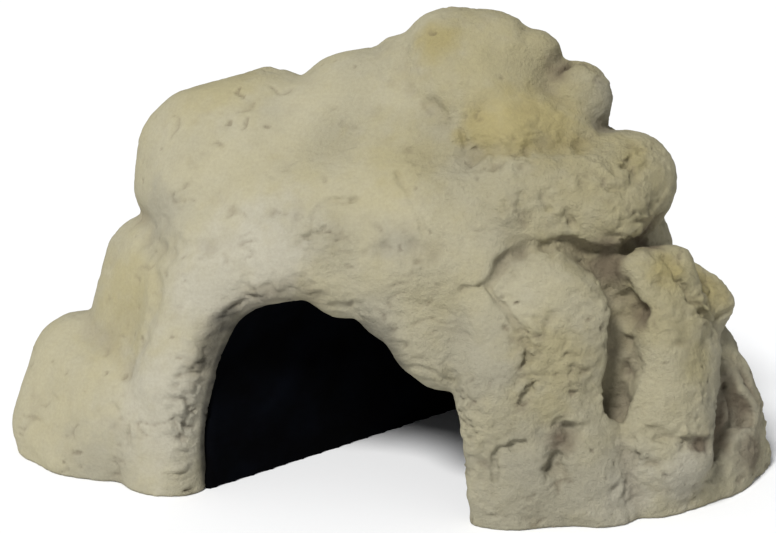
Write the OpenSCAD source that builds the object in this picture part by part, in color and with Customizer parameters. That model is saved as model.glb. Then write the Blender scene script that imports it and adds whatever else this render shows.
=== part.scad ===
// Cave ornament: a rock arch made of bonded resin castings around a dark inner liner.
// The entrance faces -Y, the rock stands on z = 0, and the origin is the middle of the base.
// All sizes are in millimetres.

/* [Walls] */
// Thinnest wall of the rock castings
wall = 8; // [6:0.5:10]
// Thickness of the dark liner
liner_wall = 3; // [2:0.5:4]
// How far the front edge of the liner stays behind the rock face
liner_setback = 9; // [8:0.5:12]

/* [Hidden] */
// Facets around each ball of a stone
facets = 24;
// More than the size of the whole rock, for the blocks that cut it off
reach = 200;
// How deep the arch is cut, half of it in front of the face and half behind
arch_cut = 60;

// Every stone is the hull of a few balls, each [x, y, z, radius]. A casting is a list of stones.
SUMMIT_BOULDER = [
    [[19, 4, 136, 20], [30, 4, 138, 18], [26, -4, 124, 24], [38, 2, 125, 19]],
    [[60, 2, 127, 13], [52, 6, 114, 16]],
    [[46, 4, 141, 9], [40, 4, 128, 15]],
    [[40, -14, 114, 18], [54, -8, 114, 15], [34, -8, 116, 22]],
];
SHOULDER_BOULDER = [
    [[77, -6, 101, 18], [70, -20, 97, 19], [74, 2, 98, 18], [44, -30, 95, 20]],
];
LEFT_BOULDER = [
    [[-75, -4, 106, 15], [-75, -8, 92, 16], [-66, -4, 107, 21], [-46, 0, 111, 22], [-60, -20, 92, 20],
     [-42, -16, 98, 22]],
];
FRONT_PILLAR = [
    [[39, -54, 72, 7], [44, -54, 44, 13], [54, -52, 44, 11], [42, -56, 20, 9], [41, -58, 0, 9],
     [50, -52, 0, 15]],
    [[41, -58, 0, 9], [50, -52, 0, 15], [76, -44, 0, 15], [70, -46, 22, 14], [49, -54, 24, 13]],
];
MIDDLE_PILLAR = [
    [[50, -47, 74, 11], [58, -44, 76, 12], [69, -42, 68, 11], [62, -47, 50, 12], [70, -46, 38, 9],
     [62, -50, 34, 12]],
];
RIGHT_PILLAR = [
    [[85, -30, 77, 9], [95, -23, 76, 10], [101, -24, 62, 10], [94, -29, 56, 13]],
    [[94, -29, 56, 13], [102, -20, 50, 11], [94, -34, 34, 12], [98, -30, 30, 15], [96, -34, 18, 16]],
    [[92, -34, 22, 16], [91, -28, 0, 20], [99, -17, 0, 19]],
    [[75, -19, 78, 14], [73, -26, 56, 14], [83, -23, 28, 16], [62, -28, 72, 13],
     [76, -24, 0, 16]],
];
RIGHT_FLANK = [
    [[108, -6, 63, 8], [95, -4, 68, 9], [92, -2, 48, 18]],
    [[99, 2, 40, 15], [106, 2, 20, 21], [111, 8, 0, 20], [105, -10, 0, 20]],
];
LEFT_FOOT = [
    [[-83, -12, 64, 19], [-87, -16, 44, 20], [-72, -20, 66, 20]],
    [[-108, -18, 28, 20], [-119, -27, 9, 14], [-102, -39, 0, 15], [-80, -38, 20, 20], [-96, -20, 32, 17],
     [-86, -28, 0, 18]],
];
LEFT_JAMB = [
    [[-69, -46, 0, 18], [-64, -45, 36, 18]],
    [[-64, -45, 36, 18], [-50, -34, 74, 22]],
];
RIDGE_SLAB = [
    [[-15, 2, 120, 20], [4, 2, 124, 20], [-28, -12, 102, 20], [18, -16, 105, 20]],
    [[6, 4, 128, 19], [22, 4, 124, 20]],
    [[-1, 4, 139, 7], [4, 4, 134, 11]],
];
ARCH_LINTEL = [
    [[-36, -26, 85, 24], [36, -30, 90, 22], [0, -26, 92, 24], [-28, -38, 78, 21], [36, -42, 76, 18],
     [0, -42, 80, 19]],
    [[-44, -44, 64, 12], [-20, -46, 74, 12], [-30, -36, 84, 14]],
    [[26, -47, 53, 14], [15, -46, 60, 15], [38, -48, 60, 12], [4, -44, 74, 15], [38, -44, 76, 14]],
];
REAR_LEFT_ROCK = [
    [[-90, 6, 0, 27], [-88, 8, 26, 23], [-72, 26, 0, 29], [-74, 22, 32, 25]],
    [[-50, 38, 0, 28], [-48, 34, 34, 28], [-64, 24, 24, 27]],
    [[-72, 10, 56, 25], [-56, 26, 58, 26], [-64, 4, 74, 22]],
    [[-38, 22, 80, 24], [-46, 10, 92, 24], [-56, 14, 74, 24]],
    [[-78, 30, 42, 13], [-68, 36, 46, 12]],
    [[-34, 54, 0, 14], [-48, 54, 10, 13], [-62, 50, 0, 15]],
];
REAR_MIDDLE_ROCK = [
    [[-20, 42, 0, 27], [-14, 40, 34, 27], [-30, 36, 28, 26], [0, 42, 8, 26]],
    [[-24, 32, 62, 25], [-4, 30, 70, 26], [-12, 36, 48, 24]],
    [[-14, 22, 94, 24], [8, 22, 100, 24], [2, 30, 82, 20]],
    [[24, 42, 0, 27], [14, 40, 28, 27], [30, 38, 34, 25]],
    [[24, 34, 58, 25], [12, 26, 80, 24], [30, 28, 72, 22]],
    [[8, 54, 40, 12], [-4, 56, 34, 11], [6, 56, 22, 11]],
];
REAR_RIGHT_ROCK = [
    [[50, 40, 0, 28], [66, 34, 0, 29], [60, 34, 24, 28], [44, 38, 22, 26]],
    [[54, 32, 50, 27], [40, 28, 62, 25], [66, 26, 58, 23]],
    [[42, 20, 90, 25], [56, 20, 84, 23], [46, 26, 76, 22], [34, 16, 100, 21]],
    [[96, 20, 0, 26], [88, 26, 8, 26], [86, 22, 34, 24], [96, 12, 30, 22]],
    [[78, 8, 57, 23], [80, 22, 48, 19]],
    [[66, 4, 84, 22], [54, 14, 88, 24], [72, 16, 70, 22]],
    [[72, 50, 6, 14], [80, 48, 0, 15], [66, 50, 22, 11]],
];
// The outline of the plain mass behind the stones. Shrunk by the wall, it is the hollow of the rock.
BODY = [
    [[-78, -6, 0, 24], [-44, 36, 0, 26], [60, 36, 0, 26], [90, 0, 0, 24], [60, -26, 0, 18],
     [-62, -34, 0, 20], [-69, 0, 56, 24], [60, 14, 74, 24], [60, -18, 66, 18], [-52, -24, 56, 22]],
    [[-56, 2, 60, 24], [-46, -4, 90, 22], [32, -18, 84, 26], [60, -6, 84, 22], [30, 0, 115, 18],
     [-6, 2, 104, 18], [36, 12, 70, 28]],
];
// The chamber under the vault of the liner: the main room, its mouth, its right side and its crown
CHAMBER = [
    [[-44, -66, 0, 14], [-42, -66, 38, 14], [25, 28, 0, 14], [25, 28, 30, 14], [62, 24, 0, 14],
     [62, 24, 28, 14], [60, -24, 0, 14], [60, -24, 32, 14]],
    [[-44, -66, 0, 14], [-42, -66, 38, 14], [-34, -60, 46, 20], [-20, -56, 50, 21], [28, -64, 0, 12],
     [28, -64, 38, 12], [-10, -36, 48, 25]],
    [[28, -64, 0, 12], [28, -64, 38, 12], [60, -24, 0, 14], [60, -24, 32, 14], [-10, -36, 48, 25]],
    [[-42, -66, 38, 14], [-10, -36, 48, 25], [30, 0, 42, 26], [25, 28, 30, 14], [60, -24, 32, 14]],
];
// The entrance, seen from the front: [x, z] along the lip of the arch
ENTRANCE = [
    [-55, -5], [-55, 16], [-53, 31], [-49.5, 44], [-44, 56], [-36, 63], [-28, 67], [-20, 71], [-13, 65],
    [-4, 61], [8, 58], [11, 52], [14, 46], [20, 43.5], [29, 43], [33, 36], [35, 24], [36, 10], [36, -5],
];
// The face of the rock around the entrance leans back and is turned a little to the left
face_y = -66;
face_lean = -5;
face_turn = -3;

module stone(balls, grow = 0) hull() for (b = balls)
    translate([b.x, b.y, b.z]) sphere(r = b[3] + grow, $fn = facets);
module stones(list, grow = 0) for (balls = list) stone(balls, grow);
module on_face() translate([0, face_y, 0]) rotate([face_lean, 0, face_turn]) children();
module entrance() on_face() rotate([90, 0, 0]) linear_extrude(arch_cut, center = true) polygon(ENTRANCE);
module chamber(grow) difference() {
    stones(CHAMBER, grow);
    on_face() translate([-reach, liner_setback - 2 * reach, -reach / 2]) cube(2 * reach);
}
module ground() translate([-reach, -reach, -reach / 2]) cube([2 * reach, 2 * reach, reach / 2]);

// A casting gives way to the castings that lie over it, and is hollow where the body is
module casting(own, over) difference() {
    stones(own);
    for (list = over) stones(list);
    stones(BODY, -wall);
    chamber(liner_wall);
    entrance();
    ground();
}

module summit_boulder() color("wheat") casting(SUMMIT_BOULDER, []);
module shoulder_boulder() color("burlywood") casting(SHOULDER_BOULDER, [SUMMIT_BOULDER]);
module left_boulder() color("tan") casting(LEFT_BOULDER, []);
module front_pillar() color("tan") casting(FRONT_PILLAR, []);
module middle_pillar() color("burlywood") casting(MIDDLE_PILLAR, [SHOULDER_BOULDER, FRONT_PILLAR]);
module right_pillar() color("wheat") casting(RIGHT_PILLAR, [
    SHOULDER_BOULDER, FRONT_PILLAR, MIDDLE_PILLAR
]);
module right_flank() color("tan") casting(RIGHT_FLANK, [RIGHT_PILLAR, SHOULDER_BOULDER]);
module left_foot() color("wheat") casting(LEFT_FOOT, [LEFT_BOULDER]);
module left_jamb() color("burlywood") casting(LEFT_JAMB, [LEFT_BOULDER, LEFT_FOOT]);
module ridge_slab() color("wheat") casting(RIDGE_SLAB, [SUMMIT_BOULDER, SHOULDER_BOULDER, LEFT_BOULDER]);
module arch_lintel() color("tan") casting(ARCH_LINTEL, [
    SUMMIT_BOULDER, SHOULDER_BOULDER, LEFT_BOULDER, FRONT_PILLAR, MIDDLE_PILLAR, RIGHT_PILLAR,
    LEFT_FOOT, LEFT_JAMB, RIDGE_SLAB
]);
module rear_left_rock() color("burlywood") casting(REAR_LEFT_ROCK, [
    LEFT_BOULDER, LEFT_FOOT, LEFT_JAMB, RIDGE_SLAB, ARCH_LINTEL
]);
module rear_middle_rock() color("tan") casting(REAR_MIDDLE_ROCK, [
    SUMMIT_BOULDER, LEFT_BOULDER, RIDGE_SLAB, ARCH_LINTEL, REAR_LEFT_ROCK
]);
module rear_right_rock() color("wheat") casting(REAR_RIGHT_ROCK, [
    SUMMIT_BOULDER, SHOULDER_BOULDER, RIGHT_PILLAR, RIGHT_FLANK, RIDGE_SLAB, ARCH_LINTEL,
    REAR_MIDDLE_ROCK
]);
module cave_liner() color("black") difference() {
    chamber(liner_wall);
    stones(CHAMBER);
    ground();
}

summit_boulder();
shoulder_boulder();
left_boulder();
front_pillar();
middle_pillar();
right_pillar();
right_flank();
left_foot();
left_jamb();
ridge_slab();
arch_lintel();
rear_left_rock();
rear_middle_rock();
rear_right_rock();
cave_liner();
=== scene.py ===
"""Looks of the cave ornament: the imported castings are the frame, and each one is replaced by a
sculpted rock piece made from its own CAD shape. All lengths in the tables are in millimetres."""

import math

import bpy
import numpy as np
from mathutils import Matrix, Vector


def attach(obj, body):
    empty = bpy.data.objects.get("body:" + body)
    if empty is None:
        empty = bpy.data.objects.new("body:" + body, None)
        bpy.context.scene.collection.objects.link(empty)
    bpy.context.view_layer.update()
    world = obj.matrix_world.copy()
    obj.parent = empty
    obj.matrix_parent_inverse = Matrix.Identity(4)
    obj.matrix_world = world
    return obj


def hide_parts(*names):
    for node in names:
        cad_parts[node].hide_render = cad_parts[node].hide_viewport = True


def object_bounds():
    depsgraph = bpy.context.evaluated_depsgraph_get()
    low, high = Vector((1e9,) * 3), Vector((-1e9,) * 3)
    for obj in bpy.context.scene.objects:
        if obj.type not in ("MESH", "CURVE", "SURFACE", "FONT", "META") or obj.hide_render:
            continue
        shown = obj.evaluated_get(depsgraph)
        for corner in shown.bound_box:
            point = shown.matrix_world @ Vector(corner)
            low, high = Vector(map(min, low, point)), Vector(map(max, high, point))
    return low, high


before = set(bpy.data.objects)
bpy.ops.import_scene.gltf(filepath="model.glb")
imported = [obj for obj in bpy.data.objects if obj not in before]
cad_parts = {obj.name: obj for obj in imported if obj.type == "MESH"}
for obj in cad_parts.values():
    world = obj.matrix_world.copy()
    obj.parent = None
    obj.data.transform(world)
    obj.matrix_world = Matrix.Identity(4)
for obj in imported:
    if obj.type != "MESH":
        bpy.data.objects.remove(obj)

import openvdb
from mathutils import Vector

MM = 0.001
CAD_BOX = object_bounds()

# ---------------------------------------------------------------- grid and fields

VOXEL = 0.8
# How far from a surface distances are kept, and the room left around the object
BAND = 8.0
PAD = 8.0
# How far a casting is carried below the ground, so that its underside doesn't shape its sides
BELOW_GROUND = 12.0
# Width of the blend where castings meet
WELD = 0.35
# How far a casting runs under its neighbour: where it starts to thin out, and where it ends
UNDERLAP = 2.2
UNDERLAP_END = 3.2
# How much a casting sinks for each millimetre that it runs past the seam
SINK = 0.06
LINER = "cave_liner"
ROCKS = sorted(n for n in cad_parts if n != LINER)

ORIGIN = np.floor((np.array(CAD_BOX[0]) / MM - PAD) / VOXEL) * VOXEL
SHAPE = np.ceil((np.array(CAD_BOX[1]) / MM + PAD - ORIGIN) / VOXEL).astype(int) + 1


def axis_mm(axis):
    """Positions of the grid's points along one axis."""
    return ORIGIN[axis] + VOXEL * np.arange(SHAPE[axis])


def grown(lo, hi, margin):
    """Slices of the grid that hold the box from lo to hi with a margin."""
    a = np.clip(np.floor((lo - margin - ORIGIN) / VOXEL).astype(int), 0, SHAPE - 1)
    b = np.clip(np.ceil((hi + margin - ORIGIN) / VOXEL).astype(int) + 1, 1, SHAPE)
    return tuple(slice(i, j) for i, j in zip(a, b))


def cad_mesh(name):
    """Vertices in millimetres and triangles of a CAD node."""
    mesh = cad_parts[name].data
    mesh.calc_loop_triangles()
    points = np.zeros(len(mesh.vertices) * 3, np.float32)
    mesh.vertices.foreach_get("co", points)
    triangles = np.zeros(len(mesh.loop_triangles) * 3, np.int32)
    mesh.loop_triangles.foreach_get("vertices", triangles)
    return points.reshape(-1, 3) / MM, triangles.reshape(-1, 3).astype(np.uint32)


def distance_to(points, triangles, box):
    """Signed distance to a closed mesh, in millimetres, on the grid points in box."""
    local = ((points - ORIGIN) / VOXEL).astype(np.float32)
    grid = openvdb.FloatGrid.createLevelSetFromPolygons(
        local, triangles=triangles, halfWidth=BAND / VOXEL
    )
    out = np.zeros([s.stop - s.start for s in box], np.float32)
    grid.copyToArray(out, ijk=tuple(int(s.start) for s in box))
    return out * VOXEL


def casting_distance(name):
    """Distance to a casting whose flat underside is carried down below the ground."""
    points, triangles = cad_mesh(name)
    points[points[:, 2] < 0.01, 2] = -BELOW_GROUND
    box = grown(points.min(0), points.max(0), BAND)
    return box, distance_to(points, triangles, box)


def box_blur(field, sigma):
    """Three running means along each axis, which come close to a wide Gaussian blur."""
    half = max(int(round((math.sqrt(4 * (sigma / VOXEL) ** 2 + 1) - 1) / 2)), 1)
    for axis in range(3):
        for _ in range(3):
            pad = [(half + 1, half) if i == axis else (0, 0) for i in range(3)]
            total = np.cumsum(np.pad(field, pad, mode="edge"), axis=axis, dtype=np.float64)
            high = np.take(total, range(2 * half + 1, total.shape[axis]), axis=axis)
            low = np.take(total, range(0, total.shape[axis] - 2 * half - 1), axis=axis)
            field = ((high - low) / (2 * half + 1)).astype(np.float32)
    return field


def blur(field, sigma):
    """Gaussian blur, sigma in millimetres."""
    if sigma > 3 * VOXEL:
        return box_blur(field, sigma)
    sigma = sigma / VOXEL
    reach = int(math.ceil(2.5 * sigma))
    weights = np.exp(-0.5 * (np.arange(-reach, reach + 1) / sigma) ** 2)
    weights /= weights.sum()
    for axis in range(3):
        padded = np.pad(
            field, [(reach, reach) if i == axis else (0, 0) for i in range(3)], mode="edge"
        )
        out = np.zeros_like(field)
        for k, w in enumerate(weights):
            part = [slice(None)] * 3
            part[axis] = slice(k, k + field.shape[axis])
            out += np.float32(w) * padded[tuple(part)]
        field = out
    return field


def lattice_noise(spacing, seed):
    """Smooth noise from -1 to 1 on the whole grid, from random values about spacing apart."""
    rng = np.random.default_rng(seed)
    counts = [int(SHAPE[a] * VOXEL / spacing) + 5 for a in range(3)]
    out = rng.uniform(-1, 1, counts).astype(np.float32)
    for axis in range(3):
        place = np.arange(SHAPE[axis]) * VOXEL / spacing + 1
        cell, t = place.astype(int), place % 1
        cubic = [(1 - t) ** 3, 3 * t**3 - 6 * t**2 + 4, -3 * t**3 + 3 * t**2 + 3 * t + 1, t**3]
        matrix = np.zeros((SHAPE[axis], counts[axis]), np.float32)
        for k, w in enumerate(cubic):
            matrix[np.arange(SHAPE[axis]), cell + k - 1] += w / 6
        out = np.moveaxis(np.tensordot(matrix, out, axes=(1, axis)), 0, axis)
    return out * 1.8


def sample(field, points):
    """Trilinear value of a field at points in millimetres."""
    place = (points - ORIGIN) / VOXEL
    cell = np.clip(place.astype(int), 0, SHAPE - 2)
    t = np.clip(place - cell, 0, 1)
    out = np.zeros(len(points), np.float32)
    for corner in range(8):
        step = np.array([corner >> 2 & 1, corner >> 1 & 1, corner & 1])
        w = np.prod(np.where(step, t, 1 - t), axis=1)
        i = cell + step
        out += (w * field[i[:, 0], i[:, 1], i[:, 2]]).astype(np.float32)
    return out


def gradient_at(field, points):
    """Unit gradient of a field at points."""
    step = VOXEL
    g = np.stack(
        [
            sample(field, points + step * e) - sample(field, points - step * e)
            for e in np.eye(3)
        ],
        axis=1,
    )
    return g / np.maximum(np.linalg.norm(g, axis=1, keepdims=True), 1e-6)


def ramp(x, a, b):
    """Smooth step from 0 at a to 1 at b."""
    t = np.clip((x - a) / (b - a), 0, 1)
    return t * t * (3 - 2 * t)


HASH = np.array([73856093, 19349663, 83492791], np.int64)


def perlin(points, size, seed, stretch=(1, 1, 1)):
    """Gradient noise, about -1 to 1, whose lumps are about size apart."""
    if points.ndim > 2:
        return perlin(points.reshape(-1, 3), size, seed, stretch).reshape(points.shape[:-1])
    p = points / (size * np.array(stretch))
    cell = np.floor(p).astype(np.int64)
    f = p - cell
    fade = f * f * f * (f * (f * 6 - 15) + 10)
    out = np.zeros(len(points))
    for corner in range(8):
        step = np.array([corner >> 2 & 1, corner >> 1 & 1, corner & 1])
        h = ((cell + step) * HASH).sum(1) + seed * 2654435761
        h = (h ^ (h >> 13)) * 1274126177 & 0xFFFFFFFF
        h ^= h >> 16
        angle = (h & 0xFFFF) / 65536 * 2 * np.pi
        z = (h >> 16 & 0xFF) / 127.5 - 1
        r = np.sqrt(np.maximum(1 - z * z, 0))
        d = f - step
        dot = d[:, 0] * r * np.cos(angle) + d[:, 1] * r * np.sin(angle) + d[:, 2] * z
        out += np.prod(np.where(step, fade, 1 - fade), axis=1) * dot
    return out * 1.6


# ---------------------------------------------------------------- sculpting

# Grooves and hollows: points on the surface, radius and depth
GROOVES = {
    "between_heads": ([(73, -36, 86), (75, -38, 78), (81, -38, 69)], 4.0, 4.0),
    "between_middle_and_right": ([(83, -38, 68), (82, -38, 52), (82, -41, 36)], 7.4, 4.0),
    "beside_right_head": ([(82, -38, 77), (85, -38, 71)], 6.0, 3.0),
    "below_right_head": ([(84, -38, 66), (90, -38, 67)], 5.5, 3.0),
    "between_front_and_middle": (
        [(33, -59, 77), (40, -59, 80), (44, -58, 75), (50, -58, 68), (54, -58, 61), (56, -60, 47)],
        1.9,
        2.0,
    ),
    "below_front_crease": ([(56, -60, 48), (54, -62, 43)], 2.6, 2.6),
    "arched_groove": ([(46, -67, 17), (45, -67, 23), (47, -67, 28), (55, -65, 29)], 1.7, 2.0),
    "base_hollow": ([(68, -59, 33), (66, -60, 27), (65, -61, 23)], 5.6, 5.4),
    "base_hollow_foot": ([(65, -61, 24), (64, -62, 18)], 4.0, 4.0),
    "base_crease": ([(88, -50, 28), (89, -50, 21), (86, -52, 11), (88, -53, 3)], 1.6, 1.3),
    "right_ledge": ([(92, -43, 29), (99, -41, 26), (106, -36, 22)], 3.0, 1.4),
    "flank_crease": (
        [(95, -30, 83), (99, -32, 78), (103, -31, 72), (108, -30, 66), (112, -22, 60)],
        2.4,
        2.6,
    ),
    "flank_hollow": ([(113, -14, 44), (118, -11, 34), (121, -11, 23)], 6.0, 7.5),
    "flank_foot": ([(119, -14, 22), (113, -25, 17)], 4.5, 4.5),
    "flank_ridge": ([(122, -4, 40), (127, -2, 26)], 2.2, 1.8),
    "flank_pit": ([(110, -30, 22), (112, -32, 18)], 3.2, 3.0),
    "flank_head_notch": ([(108, -10, 59), (114, -9, 60)], 1.8, 1.6),
    "under_shoulder": (
        [
            (42, -58, 80), (45, -55, 86), (53, -45, 90), (61, -40, 90),
            (71, -35, 86), (80, -31, 87), (88, -20, 87),
        ],
        3.6,
        3.4,
    ),
    "beside_summit": ([(55, -5, 138), (57, -3, 139), (60, 2, 139)], 2.6, 2.6),
    "shoulder_crinkle_1": ([(50, -45, 106), (49, -48, 102)], 1.6, 1.5),
    "shoulder_crinkle_2": ([(56, -43, 106), (59, -44, 101)], 1.6, 1.5),
    "shoulder_crinkle_3": ([(63, -43, 102), (66, -42, 96)], 1.6, 1.4),
    "summit_rift": ([(27, -28, 122), (29, -30, 117)], 1.3, 1.3),
    "ridge_step": ([(-3, -13, 136), (16, -24, 130), (22, -27, 124)], 3.0, 0.6),
    "middle_crack": ([(8, -41, 111), (12, -45, 106), (18, -51, 99), (20, -54, 93)], 1.3, 1.3),
    "middle_arc": ([(-17, -54, 90), (-17, -50, 98), (-12, -48, 101), (-5, -48, 102)], 1.5, 1.2),
    "middle_hollow": ([(8, -58, 89), (22, -56, 89)], 7.0, 2.0),
    "middle_dash": ([(-14, -22, 120), (-9, -24, 120)], 1.1, 1.1),
    "middle_pit_left": ([(-24, -44, 103), (-24, -45, 101)], 1.2, 1.3),
    "middle_pit_right": ([(-5, -48, 102), (-3, -48, 102)], 1.2, 1.3),
    "shoulder_gouge_1": ([(78, -29, 111), (81, -23, 113), (84, -15, 115)], 2.0, 1.6),
    "shoulder_gouge_2": ([(87, -18, 111), (81, -32, 106), (77, -34, 107)], 2.0, 1.6),
    "left_valley": ([(-72, -47, 72), (-70, -50, 64), (-77, -54, 52), (-84, -52, 40)], 6.0, 1.8),
    "boulder_underside": ([(-82, -34, 80), (-70, -40, 78), (-58, -45, 80), (-48, -48, 84)], 7.0, 2.2),
    "foot_dash": ([(-112, -40, 24), (-108, -42, 23)], 1.0, 1.0),
    "foot_pit": ([(-87, -54, 28), (-84, -55, 26)], 1.3, 1.5),
    "foot_scratch": ([(-80, -58, 21), (-79, -59, 15)], 1.0, 1.0),
}

# Balls inside which the fine relief is stronger: centre and radius
ROUGH = [
    ((50, -26, 122), 18), ((98, -46, 24), 11), ((60, -58, 62), 11),
    ((40, -60, 40), 9), ((110, -10, 62), 9), ((86, -30, 96), 12), ((-72, -34, 90), 16),
    ((4, -48, 98), 12), ((-54, -61, 34), 15), ((58, -44, 101), 15), ((80, -30, 108), 12),
    ((63, -60, 46), 13), ((108, -28, 70), 8), ((-7, -57, 88), 14), ((-37, -56, 70), 10),
]

# Balls inside which the creases between the castings are filled softly: centre and radius
SOFT = [
    ((-58, -40, 76), 24), ((-78, -48, 58), 24), ((-78, -52, 20), 18), ((-24, -20, 116), 26),
    ((0, -40, 106), 34), ((-40, -50, 72), 22), ((26, -20, 122), 14), ((42, -48, 100), 20),
    ((50, -56, 58), 17), ((30, -50, 82), 16), ((60, -61, 32), 10), ((72, -54, 34), 13),
    ((110, -20, 71), 13),
]

# The lip of the arch, from its left foot to its right one
LIP = [
    (-54, -60, 5), (-53, -60, 30), (-49, -59, 44), (-44, -58, 56), (-36, -57, 63), (-28, -57, 67),
    (-20, -57, 70), (-13, -57, 65), (-4, -57, 61), (8, -57, 58), (11, -57, 52), (14, -57, 46),
    (20, -57, 44), (29, -57, 43), (33, -58, 36), (35, -59, 24),
]

# The rock just inside the lip, where it meets the dark liner
LIP_INSIDE = [(x, y + 8, z) for x, y, z in LIP]

# Balls inside which the fine relief is fainter: centre and radius
SMOOTH = [((34, -18, 142), 28), ((-12, -10, 128), 22), ((-70, -20, 104), 20), ((92, -44, 48), 12)]


def near_balls(points, balls):
    """1 well inside any of the balls and 0 well outside them all."""
    out = np.zeros(points.shape[:-1], np.float32)
    for centre, radius in balls:
        d = np.linalg.norm(points - np.array(centre, np.float32), axis=-1)
        out = np.maximum(out, ramp(d, radius * 1.25, radius * 0.7))
    return out


def near_path(points, path, inner, outer):
    """1 within inner of a path and 0 beyond outer."""
    d = np.full(points.shape[:-1], 1e3)
    path = np.array(path, float)
    for a, b in zip(path[:-1], path[1:]):
        d = np.minimum(d, segment_distance(points, a, b))
    return ramp(d, outer, inner)


def segment_distance(points, a, b):
    """Distance from points to the segment from a to b."""
    along = np.clip(((points - a) @ (b - a)) / max(float((b - a) @ (b - a)), 1e-9), 0, 1)
    return np.linalg.norm(points - a - along[..., None] * (b - a), axis=-1)


def carve(field, path, radius, depth):
    """Sinks a round groove along a path that is first snapped to the surface."""
    softness = 0.3 + 0.35 * radius
    path = np.array(path, float)
    for _ in range(4):
        path = path - sample(field, path)[:, None] * gradient_at(field, path)
    path = path + gradient_at(field, path) * (radius - depth)
    box = grown(path.min(0), path.max(0), radius + 4)
    at = [axis_mm(a)[box[a]] for a in range(3)]
    points = np.stack(np.meshgrid(*at, indexing="ij"), axis=-1)
    warp = np.stack([perlin(points, 5.0, s) for s in (71, 72, 73)], axis=-1)
    warped = points + warp * min(0.45 * radius, 1.4)
    near = np.full(points.shape[:3], 1e3)
    for a, b in zip(path[:-1], path[1:]):
        near = np.minimum(near, segment_distance(warped, a, b))
    tube = radius - near - 0.35 * depth * (1 + perlin(points, 7.0, 74))
    old = field[box]
    blend = np.clip(0.5 + 0.5 * (tube - old) / softness, 0, 1)
    field[box] = old * (1 - blend) + tube * blend + softness * blend * (1 - blend)


def rock_field():
    """Distance to the whole rock, and how much farther each casting is than the nearest other one."""
    total = np.zeros(SHAPE, np.float32)
    nearest = np.full(SHAPE, BAND, np.float32)
    second = np.full(SHAPE, BAND, np.float32)
    owner = np.full(SHAPE, -1, np.int8)
    parts = {}
    for i, name in enumerate(ROCKS):
        box, d = casting_distance(name)
        parts[name] = (box, d)
        total[box] += np.exp(-d / WELD)
        closer = d < nearest[box]
        second[box] = np.where(closer, nearest[box], np.minimum(second[box], d))
        nearest[box] = np.where(closer, d, nearest[box])
        owner[box][closer] = i
    field = -WELD * np.log(np.maximum(total, math.exp(-BAND / WELD)))
    for i, name in enumerate(ROCKS):
        box, d = parts[name]
        others = np.where(owner[box] == i, second[box], nearest[box])
        parts[name] = (box, d - others)
    return field, parts


def without_seams(field):
    """Distance to the surface where field is 0, so that no seam between castings is felt inside."""
    grid = openvdb.FloatGrid(float(BAND))
    grid.copyFromArray(np.ascontiguousarray(field, np.float32))
    points, _, quads = grid.convertToPolygons(isovalue=0.0, adaptivity=0.0)
    whole = openvdb.FloatGrid.createLevelSetFromPolygons(
        points, quads=quads, halfWidth=BAND / VOXEL
    )
    out = np.zeros(SHAPE, np.float32)
    whole.copyToArray(out)
    return out * VOXEL


def sculpt(field):
    """The rock's surface with soft creases, worn lumps and grooves."""
    field = blur(field, 1.4)
    at = [axis_mm(a).astype(np.float32) for a in range(3)]
    grid = np.stack(np.meshgrid(*at, indexing="ij"), axis=-1)
    soft = near_balls(grid, SOFT)
    lip = grown(np.min(LIP, 0), np.max(LIP, 0), 16)
    soft[lip] *= 1 - near_path(grid[lip], LIP, 7, 14)
    edge = near_path(grid[lip], LIP, 3, 9)
    turn = near_path(grid[lip], LIP[1:6], 5, 14)
    change = blur(field, 6.0) - field
    give = 0.8 - 0.5 * ramp(grid[..., 0], 0, 30)
    field += soft * np.where(change < 0, change, give * np.minimum(change, 2.5))
    field[lip] += turn * (blur(field, 4.0)[lip] - 0.8 - field[lip])
    field[lip] += (near_path(grid[lip], LIP[:5], 3, 9) - 0.4) * edge
    rough = 0.35 + 0.65 * ramp(grid[..., 0], 0, 50)
    rear = ramp(grid[..., 1], 5, 35)
    field -= (1.0 + 1.6 * rear) * lattice_noise(18, 11)
    field -= (0.3 + 0.8 * rough + 0.5 * rear) * lattice_noise(9, 12)
    field -= 0.7 * np.maximum(rough, 0.9 * rear) * lattice_noise(4.5, 13)
    for path, radius, depth in GROOVES.values():
        carve(field, path, radius, depth)
    return field


# ---------------------------------------------------------------- meshes


def polygons(field, box, stride=1):
    """Vertices in millimetres and quads of the surface where field is 0, from every stride-th point."""
    grid = openvdb.FloatGrid(float(BAND))
    grid.copyFromArray(np.ascontiguousarray(field[::stride, ::stride, ::stride], np.float32))
    points, _, quads = grid.convertToPolygons(isovalue=0.0, adaptivity=0.0)
    start = np.array([s.start for s in box])
    return (points * stride + start) * VOXEL + ORIGIN, quads[:, ::-1].astype(np.int32)


def add_mesh(name, points, quads):
    """A smooth-shaded object from points in millimetres and quads."""
    mesh = bpy.data.meshes.new(name)
    mesh.vertices.add(len(points))
    mesh.vertices.foreach_set("co", (points * MM).astype(np.float32).ravel())
    mesh.loops.add(quads.size)
    mesh.loops.foreach_set("vertex_index", quads.ravel())
    mesh.polygons.add(len(quads))
    mesh.polygons.foreach_set("loop_start", np.arange(0, quads.size, 4, dtype=np.int32))
    mesh.polygons.foreach_set("loop_total", np.full(len(quads), 4, np.int32))
    mesh.polygons.foreach_set("use_smooth", np.ones(len(quads), bool))
    mesh.update(calc_edges=True)
    mesh.validate()
    piece = bpy.data.objects.new(name, mesh)
    bpy.context.scene.collection.objects.link(piece)
    return piece


def add_attribute(piece, name, values):
    """Stores a value at each vertex for the material to read."""
    attribute = piece.data.attributes.new(name, "FLOAT", "POINT")
    attribute.data.foreach_set("value", values.astype(np.float32))


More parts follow.
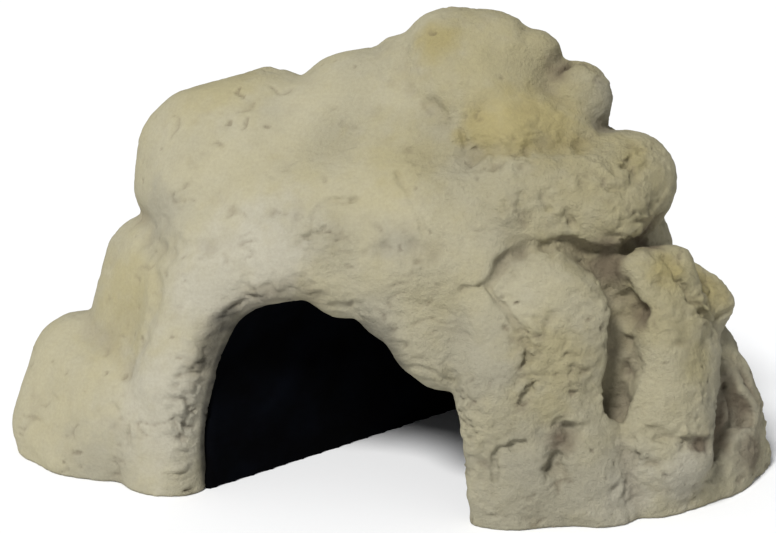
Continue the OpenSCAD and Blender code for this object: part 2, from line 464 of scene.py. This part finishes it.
def detail(points):
    """Height of the fine relief in millimetres, how pitted it is, and how coarse, at each point."""
    warp = np.stack([perlin(points, 7, s) for s in (21, 22, 23)], axis=1) * 2.5
    warped = points + warp
    coarse = ramp(perlin(points, 30, 31) + points[:, 0] / 90, -0.5, 0.6)
    coarse = np.maximum(coarse, near_path(points, LIP, 6, 16))
    coarse = np.maximum(coarse, 0.7 * ramp(points[:, 1], 10, 40))
    crinkle = perlin(warped, 2.4, 41, (1.6, 1.6, 0.8)) * 0.38
    crinkle = crinkle + perlin(warped, 5.0, 42, (1.4, 1.4, 0.9)) * 0.45
    ridge = 1 - np.abs(perlin(warped, 7, 43, (1.8, 1.8, 0.8))) * 5
    crack = np.clip(ridge, 0, 1) ** 2 * ramp(perlin(points, 11, 44), 0.3, 0.5)
    pit = ramp(perlin(points, 2.8, 45), 0.5, 0.7) * ramp(perlin(points, 14, 46), 0.1, 0.4)
    fine = perlin(warped, 1.7, 47, (1.5, 1.5, 0.8)) * 0.2
    lip = near_path(points, LIP, 8, 18)
    patchy = np.maximum(0.35 + 0.65 * ramp(perlin(points, 12, 48), -0.25, 0.35), 1.3 * lip)
    calm = 1 - 0.9 * np.maximum(near_path(points, LIP, 2, 6), near_path(points, LIP_INSIDE, 5, 9))
    calm = calm * (1 + 0.8 * near_balls(points, ROUGH)) * (1 - 0.5 * near_balls(points, SMOOTH))
    height = (crinkle + fine) * (0.45 + 1.25 * coarse) * patchy * calm - 0.6 * crack - 0.7 * pit
    return height, np.clip(crack + pit, 0, 1), coarse


# Tinted areas: centre and radius of each ball
STAINS = [
    ((15, -12, 148), 9), ((45, -24, 122), 17), ((56, -20, 122), 14), ((36, -30, 124), 10),
    ((108, -12, 70), 12), ((96, -34, 82), 8), ((86, -22, 118), 10), ((27, -29, 119), 4),
]
WARM = [
    ((40, -10, 135), 34), ((70, -20, 100), 34), ((96, -30, 70), 20), ((-90, -40, 60), 22),
    ((60, -54, 55), 18), ((10, -40, 118), 20), ((-60, -10, 130), 20), ((-84, -50, 52), 12),
    ((-76, -44, 84), 10), ((61, -58, 42), 9), ((110, -26, 70), 13), ((61, -61, 42), 8), ((107, -35, 51), 9),
]
# Paler areas, partly the rock's own paler tone and partly painted light on lit faces and shaded low spots:
# centre and radius
PALE_AND_LIT = [
    ((-62, -62, 30), 30), ((-48, -62, 74), 24), ((-34, -55, 86), 22), ((86, -54, 10), 15),
    ((106, -45, 13), 13),
]
# Greyer areas, partly the rock's own grey tone and partly painted shade in hollows, the right flank and
# under the left boulder: centre and radius
GREYISH_AND_SHADE = [
    ((60, -60, 8), 34), ((11, -57, 90), 9), ((4, -58, 66), 11), ((120, -20, 30), 24),
    ((72, -62, 14), 14), ((-90, -56, 4), 22), ((-74, -34, 88), 14), ((74, -4, 126), 10),
    ((38, -62, 55), 18),
]

# Lines along which painted shade darkens the face of the arch next to its lip
LIP_SHADE_LEFT = [(-49, -60, 47), (-46, -58, 55), (-44, -56, 60)]
LIP_SHADE_RIGHT = [(3, -57, 60), (8, -57, 59), (11, -57, 53)]

# Recesses darkened with painted shade, where shade falls: centre and radius
SHADED_RECESSES = [
    ((122, -9, 28), 14), ((112, -18, 22), 9), ((125, -12, 12), 10), ((110, -32, 20), 6),
    ((88, -37, 67), 7), ((77, -34, 82), 11), ((88, -22, 87), 8), ((67, -60, 30), 6),
    ((58, -3, 139), 8), ((108, -40, 24), 5), ((74, -38, 86), 6),
]


def tint(points, balls, seed, strength):
    """How much of a tint lies at each point: soft balls with a broken edge."""
    out = np.zeros(len(points))
    for centre, radius in balls:
        d = np.linalg.norm(points - np.array(centre), axis=1)
        out = np.maximum(out, 1 - d / (radius * 1.3))
    out = out + 0.2 * perlin(points, 9, seed) + 0.14 * perlin(points, 3.5, seed + 5)
    return ramp(out, 0.0, 0.8) * strength


def finish_piece(name, piece, material):
    """Gives a piece its material and puts it in the place of its CAD node."""
    piece.data.materials.append(material)
    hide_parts(name)
    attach(piece, "root")


# ---------------------------------------------------------------- materials


def shader(name):
    """A new material, its nodes, and a function that links two sockets."""
    material = bpy.data.materials.new(name)
    material.use_nodes = True
    nodes, links = material.node_tree.nodes, material.node_tree.links
    return material, nodes, links.new, nodes["Principled BSDF"]


def noise(nodes, link, coordinates, scale, detail_level=4.0, roughness=0.6):
    """Fractal noise with scale lumps to the metre."""
    node = nodes.new("ShaderNodeTexNoise")
    node.inputs["Scale"].default_value = scale
    node.inputs["Detail"].default_value = detail_level
    node.inputs["Roughness"].default_value = roughness
    link(coordinates, node.inputs["Vector"])
    return node.outputs["Fac"]


def mapped(nodes, link, value, a, b, low=0.0, high=1.0):
    """Carries the range from a to b over to the range from low to high."""
    node = nodes.new("ShaderNodeMapRange")
    node.inputs["From Min"].default_value = a
    node.inputs["From Max"].default_value = b
    node.inputs["To Min"].default_value = low
    node.inputs["To Max"].default_value = high
    link(value, node.inputs["Value"])
    return node.outputs["Result"]


def mix(nodes, link, factor, a, b):
    """Colour a where factor is 0 and b where it is 1."""
    node = nodes.new("ShaderNodeMix")
    node.data_type = "RGBA"
    link(factor, node.inputs["Factor"])
    for socket, value in ((node.inputs["A"], a), (node.inputs["B"], b)):
        if isinstance(value, tuple):
            socket.default_value = (*value, 1)
        else:
            link(value, socket)
    return node.outputs["Result"]


def attribute(nodes, name):
    """The value stored at the vertices under name."""
    node = nodes.new("ShaderNodeAttribute")
    node.attribute_name = name
    return node.outputs["Fac"]


SAND = (0.348, 0.316, 0.202)
CREAM = (0.357, 0.329, 0.228)
WARM_SAND = (0.318, 0.280, 0.150)
PALE_SAND = (0.387, 0.365, 0.292)
GREY = (0.285, 0.268, 0.203)
OCHRE = (0.301, 0.249, 0.095)
# Brown for the painted shade in creases and for the specks of grain
BROWN = (0.12, 0.092, 0.062)
# Near-black for the painted shade along the lip
LIP_SHADE_BLACK = (0.03, 0.03, 0.027)
# The vault's black paint, so dark that it also paints the deep shade inside
BLACK = (0.0012, 0.0012, 0.0015)
BLUE_BLACK = (0.002, 0.0025, 0.004)


def rock_material():
    """Sandy resin: broad tones first, then the tints, of which the paler ones are partly painted light and
    the greyer ones partly painted shade, then painted shade in the creases and along the lip, and the
    grain.
    """
    material, nodes, link, surface = shader("sandy_resin")
    place = nodes.new("ShaderNodeTexCoord").outputs["Object"]
    broad = mapped(nodes, link, noise(nodes, link, place, 28), 0.35, 0.65)
    colour = mix(nodes, link, broad, SAND, CREAM)
    grey = mapped(nodes, link, noise(nodes, link, place, 45), 0.45, 0.7, 0.0, 0.35)
    colour = mix(nodes, link, grey, colour, GREY)
    colour = mix(nodes, link, attribute(nodes, "warm"), colour, WARM_SAND)
    # Paler tone, partly painted light
    colour = mix(nodes, link, attribute(nodes, "pale"), colour, PALE_SAND)
    # Greyer tone, partly painted shade
    colour = mix(nodes, link, attribute(nodes, "grey_and_shade"), colour, GREY)
    colour = mix(nodes, link, attribute(nodes, "stain"), colour, OCHRE)
    # Painted shade in creases, pits and recesses
    colour = mix(nodes, link, attribute(nodes, "painted_crease_shade"), colour, BROWN)
    # Painted shade along the lip of the arch
    colour = mix(nodes, link, attribute(nodes, "lip_shade"), colour, LIP_SHADE_BLACK)
    grain = mapped(nodes, link, noise(nodes, link, place, 900, 3.0), 0.3, 0.7, 0.0, 0.15)
    colour = mix(nodes, link, grain, colour, BROWN)
    link(colour, surface.inputs["Base Color"])
    surface.inputs["Roughness"].default_value = 0.92
    surface.inputs["Specular IOR Level"].default_value = 0.2
    bump = nodes.new("ShaderNodeBump")
    strength = mapped(nodes, link, attribute(nodes, "coarse"), 0.0, 1.0, 0.35, 1.0)
    link(strength, bump.inputs["Strength"])
    bump.inputs["Distance"].default_value = 0.0012
    link(noise(nodes, link, place, 600, 6.0, 0.7), bump.inputs["Height"])
    link(bump.outputs["Normal"], surface.inputs["Normal"])
    return material


def liner_material():
    """Matt black paint with a faint blue drift, so close to zero that it also paints the deep shade inside
    the vault.
    """
    material, nodes, link, surface = shader("black_paint_and_shade")
    place = nodes.new("ShaderNodeTexCoord").outputs["Object"]
    tone = mapped(nodes, link, noise(nodes, link, place, 60), 0.4, 0.7)
    link(mix(nodes, link, tone, BLACK, BLUE_BLACK), surface.inputs["Base Color"])
    surface.inputs["Roughness"].default_value = 1.0
    surface.inputs["Specular IOR Level"].default_value = 0.02
    return material


# ---------------------------------------------------------------- pieces


def painted_hollow_shade(points, raised, height, broken):
    """How much painted shade, in brown, lies at each point: in creases, sunk pits and cracks, the shaded
    recesses and a band on the lip's shaded underside. The second argument is above 0 on ridges and below 0
    in creases.
    """
    out = np.clip(-raised / 3.0, 0, 1)
    out = np.maximum(out, 0.5 * ramp(-height, 0.25, 1.1))
    out = np.maximum(out, tint(points, SHADED_RECESSES, 56, 1.3) * ramp(raised, 2.0, 0.0))
    # Painted shade: a band on the shaded underside of the lip's upper left
    return np.maximum(out, 0.6 * broken * near_path(points, LIP[2:7], 4, 14))


def painted_lip_shade(points, broken):
    """How much painted shade darkens the rock along the arch's lip at each point: a band on the lip's
    shaded face and a rim where the rock turns into the dark vault.
    """
    out = np.maximum.reduce(
        [
            0.9 * near_path(points, LIP_SHADE_LEFT, 3, 8),
            0.25 * near_path(points, LIP[4:7], 2, 12),
            0.95 * near_path(points, LIP_INSIDE[:6], 3, 5.5),
            0.65 * near_path(points, LIP_SHADE_RIGHT, 3, 8),
        ]
    )
    return out * (0.55 + 0.45 * broken)


def make_rocks():
    """One sculpted and tinted piece for each casting."""
    field, parts = rock_field()
    field = sculpt(without_seams(field))
    height_z = axis_mm(2)
    solid = np.maximum(field, -height_z[None, None, :].astype(np.float32))
    # Blurred rock, whose creases decide where painted shade goes
    cavity = blur(field, 5.0)
    material = rock_material()
    for name, (box, farther) in parts.items():
        past = np.maximum(farther, 0)
        sunk_skin = solid[box] + SINK * past + np.maximum(farther - UNDERLAP, 0)
        own = np.maximum(sunk_skin, farther - UNDERLAP_END)
        points, quads = polygons(own, box)
        inside = sample(field, points)
        normal = gradient_at(field, points)
        height, pits, coarse = detail(points)
        skin = ramp(inside, -0.8, -0.2) * ramp(points[:, 2], 0.0, 1.5)
        broken = 0.5 + 0.5 * perlin(points, 3.5, 55, (2.2, 2.2, 0.8))
        # Painted shade in creases, pits, shaded recesses and under the lip
        crease_shade_amount = painted_hollow_shade(points, sample(cavity, points), height, broken)
        # Painted shade along the lip of the arch
        lip_shade = painted_lip_shade(points, broken)
        points = points + normal * (height * skin)[:, None]
        points[:, 2] = np.maximum(points[:, 2], 0)
        piece = add_mesh(name + "_rock", points, quads)
        # Painted shade, in brown: creases, pits, cracks, shaded recesses and the lip band
        add_attribute(piece, "painted_crease_shade", np.clip(crease_shade_amount * 0.65 + pits * 0.25, 0, 1))
        add_attribute(piece, "stain", tint(points, STAINS, 51, 0.65))
        add_attribute(piece, "warm", tint(points, WARM, 52, 0.7))
        # Paler tone, partly painted light on shaded spots and lit faces
        add_attribute(piece, "pale", tint(points, PALE_AND_LIT, 53, 0.8))
        # Greyer tone, partly painted shade in hollows and under the left boulder
        add_attribute(piece, "grey_and_shade", tint(points, GREYISH_AND_SHADE, 54, 0.7))
        add_attribute(piece, "coarse", coarse)
        # Painted shade along the lip of the arch
        add_attribute(piece, "lip_shade", lip_shade)
        finish_piece(name, piece, material)


def make_liner():
    """The dark vault, with slightly uneven walls."""
    points, triangles = cad_mesh(LINER)
    box = grown(points.min(0), points.max(0), BAND)
    d = distance_to(points, triangles, box)
    points, quads = polygons(d, box, 2)
    points = points + (perlin(points, 6, 61) * 0.3)[:, None] * np.array([0.6, 0.6, 0.5])
    points[:, 2] = np.maximum(points[:, 2], 0)
    piece = add_mesh(LINER + "_vault", points, quads)
    finish_piece(LINER, piece, liner_material())


# ---------------------------------------------------------------- stage


def make_stage():
    """A pale floor under an even sky."""
    bpy.ops.mesh.primitive_plane_add(size=6)
    floor = bpy.context.object
    floor.name = "floor"
    material, nodes, link, surface = shader("pale_floor")
    surface.inputs["Base Color"].default_value = (0.86, 0.86, 0.86, 1)
    surface.inputs["Roughness"].default_value = 0.9
    floor.data.materials.append(material)
    world = bpy.data.worlds.new("world")
    bpy.context.scene.world = world
    world.use_nodes = True
    background = world.node_tree.nodes["Background"]
    background.inputs["Color"].default_value = (0.95, 0.97, 1.0, 1)
    background.inputs["Strength"].default_value = 0.37


def add_sun(name, azimuth, elevation, strength, angle):
    """A soft sun: azimuth 0 is in front of the entrance, and negative is to the left."""
    a, e = math.radians(azimuth), math.radians(elevation)
    back = Vector((math.sin(a) * math.cos(e), -math.cos(a) * math.cos(e), math.sin(e)))
    data = bpy.data.lights.new(name, "SUN")
    data.energy = strength
    data.angle = math.radians(angle)
    light = bpy.data.objects.new(name, data)
    light.rotation_euler = (-back).to_track_quat("-Z", "Y").to_euler()
    bpy.context.scene.collection.objects.link(light)


def make_camera(azimuth=12.0, elevation=17.0, distance=0.730, target=(0, -0.015, 0.070)):
    """The camera, in front of the entrance, a little to its right and above it."""
    a, e = math.radians(azimuth), math.radians(elevation)
    back = Vector((math.sin(a) * math.cos(e), -math.cos(a) * math.cos(e), math.sin(e)))
    data = bpy.data.cameras.new("camera")
    data.lens = 100
    data.sensor_width = 36
    data.clip_start = 0.01
    camera = bpy.data.objects.new("camera", data)
    camera.location = Vector(target) + back * distance
    camera.rotation_euler = (-back).to_track_quat("-Z", "Y").to_euler()
    bpy.context.scene.collection.objects.link(camera)
    bpy.context.scene.camera = camera


make_camera()
make_rocks()
make_liner()
make_stage()
add_sun("key", -16, 48, 3.65, 15)
bpy.context.scene.view_settings.view_transform = "Standard"
